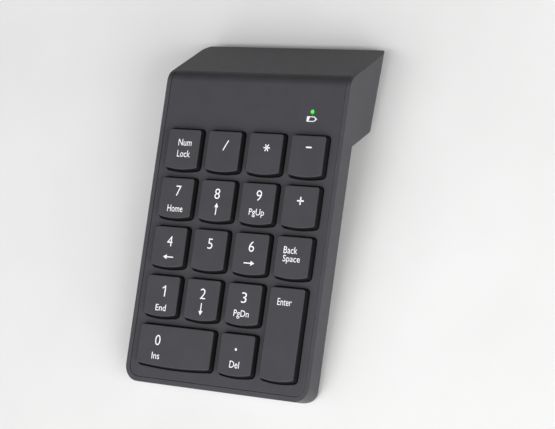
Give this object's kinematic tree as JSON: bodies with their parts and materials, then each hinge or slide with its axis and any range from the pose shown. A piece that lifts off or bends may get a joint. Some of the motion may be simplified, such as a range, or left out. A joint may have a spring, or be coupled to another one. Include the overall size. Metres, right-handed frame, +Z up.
{
  "type": "numeric keypad",
  "caption": "Dark grey wireless numeric keypad: a thin sloping key slab with travelling keys and a battery hump across its rear.",
  "frame": {"origin": "centre of the bounding box's base, on the desk under the feet", "axes": "+X to the user's right, +Y from the front edge to the rear hump, +Z up from the desk"},
  "size_m": [0.0846, 0.138, 0.0236],
  "materials": {
    "case_plastic": "fine matte dark grey ABS",
    "cover_plastic": "fine matte dark grey ABS",
    "key_plastic": "fine matte dark grey ABS with near-black sides",
    "frame_plastic": "moulded black ABS",
    "spring_steel": "drawn spring wire",
    "silicone": "milky silicone",
    "film": "clear polyester film with printed tracks",
    "sheet_steel": "zinc plated sheet",
    "board": "green solder mask",
    "chip_resin": "moulded epoxy",
    "can_metal": "nickel can",
    "capacitor_ceramic": "ceramic with tinned ends",
    "led_body": "clear epoxy",
    "green_lens": "lit green lens",
    "screw_steel": "zinc plated",
    "cell_sleeve": "plain blue shrink sleeve",
    "contact_nickel": "nickel plated spring steel",
    "foot_rubber": "matte black rubber"
  },
  "bodies": {
    "root": {"bottom_case": "case_plastic", "top_cover": "cover_plastic", "key_guide_frame": "frame_plastic", "dome_sheet": "silicone", "membrane_upper": "film", "membrane_spacer": "film", "membrane_lower": "film", "backing_plate": "sheet_steel", "circuit_board": "board", "controller_chip": "chip_resin", "crystal": "can_metal", "capacitors": "capacitor_ceramic", "status_led": "led_body", "light_pipe": "green_lens", "membrane_clamp": "frame_plastic", "circuit_screws": "screw_steel", "case_screws": "screw_steel", "contact_link": "contact_nickel", "contact_negative": "contact_nickel", "contact_positive": "contact_nickel", "battery_front": "cell_sleeve", "battery_rear": "cell_sleeve", "rubber_feet": "foot_rubber"},
    "key_num_lock": {"key_num_lock": "key_plastic"},
    "key_divide": {"key_divide": "key_plastic"},
    "key_multiply": {"key_multiply": "key_plastic"},
    "key_subtract": {"key_subtract": "key_plastic"},
    "key_7": {"key_7": "key_plastic"},
    "key_8": {"key_8": "key_plastic"},
    "key_9": {"key_9": "key_plastic"},
    "key_add": {"key_add": "key_plastic"},
    "key_4": {"key_4": "key_plastic"},
    "key_5": {"key_5": "key_plastic"},
    "key_6": {"key_6": "key_plastic"},
    "key_backspace": {"key_backspace": "key_plastic"},
    "key_1": {"key_1": "key_plastic"},
    "key_2": {"key_2": "key_plastic"},
    "key_3": {"key_3": "key_plastic"},
    "key_enter": {"key_enter": "key_plastic"},
    "key_0": {"key_0": "key_plastic"},
    "key_decimal": {"key_decimal": "key_plastic"},
    "battery_door": {"battery_door": "case_plastic"},
    "stabiliser_wire_enter": {"stabiliser_wire_enter": "spring_steel"},
    "stabiliser_wire_zero": {"stabiliser_wire_zero": "spring_steel"}
  },
  "joints": [
    {"name": "key_num_lock_press", "type": "slide", "parent": "root", "child": "key_num_lock", "axis": [0, 0.1305, -0.9914], "range_m": [0, 0.0018], "stiffness_N_per_m": 250, "springref_m": -0.0006, "deforming": ["dome_sheet"]},
    {"name": "key_divide_press", "type": "slide", "parent": "root", "child": "key_divide", "axis": [0, 0.1305, -0.9914], "range_m": [0, 0.0018], "stiffness_N_per_m": 250, "springref_m": -0.0006, "deforming": ["dome_sheet"]},
    {"name": "key_multiply_press", "type": "slide", "parent": "root", "child": "key_multiply", "axis": [0, 0.1305, -0.9914], "range_m": [0, 0.0018], "stiffness_N_per_m": 250, "springref_m": -0.0006, "deforming": ["dome_sheet"]},
    {"name": "key_subtract_press", "type": "slide", "parent": "root", "child": "key_subtract", "axis": [0, 0.1305, -0.9914], "range_m": [0, 0.0018], "stiffness_N_per_m": 250, "springref_m": -0.0006, "deforming": ["dome_sheet"]},
    {"name": "key_7_press", "type": "slide", "parent": "root", "child": "key_7", "axis": [0, 0.1305, -0.9914], "range_m": [0, 0.0018], "stiffness_N_per_m": 250, "springref_m": -0.0006, "deforming": ["dome_sheet"]},
    {"name": "key_8_press", "type": "slide", "parent": "root", "child": "key_8", "axis": [0, 0.1305, -0.9914], "range_m": [0, 0.0018], "stiffness_N_per_m": 250, "springref_m": -0.0006, "deforming": ["dome_sheet"]},
    {"name": "key_9_press", "type": "slide", "parent": "root", "child": "key_9", "axis": [0, 0.1305, -0.9914], "range_m": [0, 0.0018], "stiffness_N_per_m": 250, "springref_m": -0.0006, "deforming": ["dome_sheet"]},
    {"name": "key_add_press", "type": "slide", "parent": "root", "child": "key_add", "axis": [0, 0.1305, -0.9914], "range_m": [0, 0.0018], "stiffness_N_per_m": 250, "springref_m": -0.0006, "deforming": ["dome_sheet"]},
    {"name": "key_4_press", "type": "slide", "parent": "root", "child": "key_4", "axis": [0, 0.1305, -0.9914], "range_m": [0, 0.0018], "stiffness_N_per_m": 250, "springref_m": -0.0006, "deforming": ["dome_sheet"]},
    {"name": "key_5_press", "type": "slide", "parent": "root", "child": "key_5", "axis": [0, 0.1305, -0.9914], "range_m": [0, 0.0018], "stiffness_N_per_m": 250, "springref_m": -0.0006, "deforming": ["dome_sheet"]},
    {"name": "key_6_press", "type": "slide", "parent": "root", "child": "key_6", "axis": [0, 0.1305, -0.9914], "range_m": [0, 0.0018], "stiffness_N_per_m": 250, "springref_m": -0.0006, "deforming": ["dome_sheet"]},
    {"name": "key_backspace_press", "type": "slide", "parent": "root", "child": "key_backspace", "axis": [0, 0.1305, -0.9914], "range_m": [0, 0.0018], "stiffness_N_per_m": 250, "springref_m": -0.0006, "deforming": ["dome_sheet"]},
    {"name": "key_1_press", "type": "slide", "parent": "root", "child": "key_1", "axis": [0, 0.1305, -0.9914], "range_m": [0, 0.0018], "stiffness_N_per_m": 250, "springref_m": -0.0006, "deforming": ["dome_sheet"]},
    {"name": "key_2_press", "type": "slide", "parent": "root", "child": "key_2", "axis": [0, 0.1305, -0.9914], "range_m": [0, 0.0018], "stiffness_N_per_m": 250, "springref_m": -0.0006, "deforming": ["dome_sheet"]},
    {"name": "key_3_press", "type": "slide", "parent": "root", "child": "key_3", "axis": [0, 0.1305, -0.9914], "range_m": [0, 0.0018], "stiffness_N_per_m": 250, "springref_m": -0.0006, "deforming": ["dome_sheet"]},
    {"name": "key_enter_press", "type": "slide", "parent": "root", "child": "key_enter", "axis": [0, 0.1305, -0.9914], "range_m": [0, 0.0018], "stiffness_N_per_m": 250, "springref_m": -0.0006, "deforming": ["dome_sheet"]},
    {"name": "key_0_press", "type": "slide", "parent": "root", "child": "key_0", "axis": [0, 0.1305, -0.9914], "range_m": [0, 0.0018], "stiffness_N_per_m": 250, "springref_m": -0.0006, "deforming": ["dome_sheet"]},
    {"name": "key_decimal_press", "type": "slide", "parent": "root", "child": "key_decimal", "axis": [0, 0.1305, -0.9914], "range_m": [0, 0.0018], "stiffness_N_per_m": 250, "springref_m": -0.0006, "deforming": ["dome_sheet"]},
    {"name": "stabiliser_enter_turn", "type": "hinge", "parent": "root", "child": "stabiliser_wire_enter", "pos_m": [0.03025, -0.04489, 0.00921], "axis": [0, -0.9914, -0.1305], "range_deg": [0, 12.97]},
    {"name": "stabiliser_zero_turn", "type": "hinge", "parent": "root", "child": "stabiliser_wire_zero", "pos_m": [-0.019, -0.05604, 0.00774], "axis": [-1, 0, 0], "range_deg": [0, 12.97]},
    {"name": "battery_door_slide", "type": "slide", "parent": "root", "child": "battery_door", "axis": [0, -0.9985, -0.0541], "range_m": [0, 0.022]}
  ],
  "couplings": [
    {"joint": "stabiliser_enter_turn", "follows": "key_enter_press", "rad_per_m": 125.27},
    {"joint": "stabiliser_zero_turn", "follows": "key_0_press", "rad_per_m": 125.27}
  ]
}
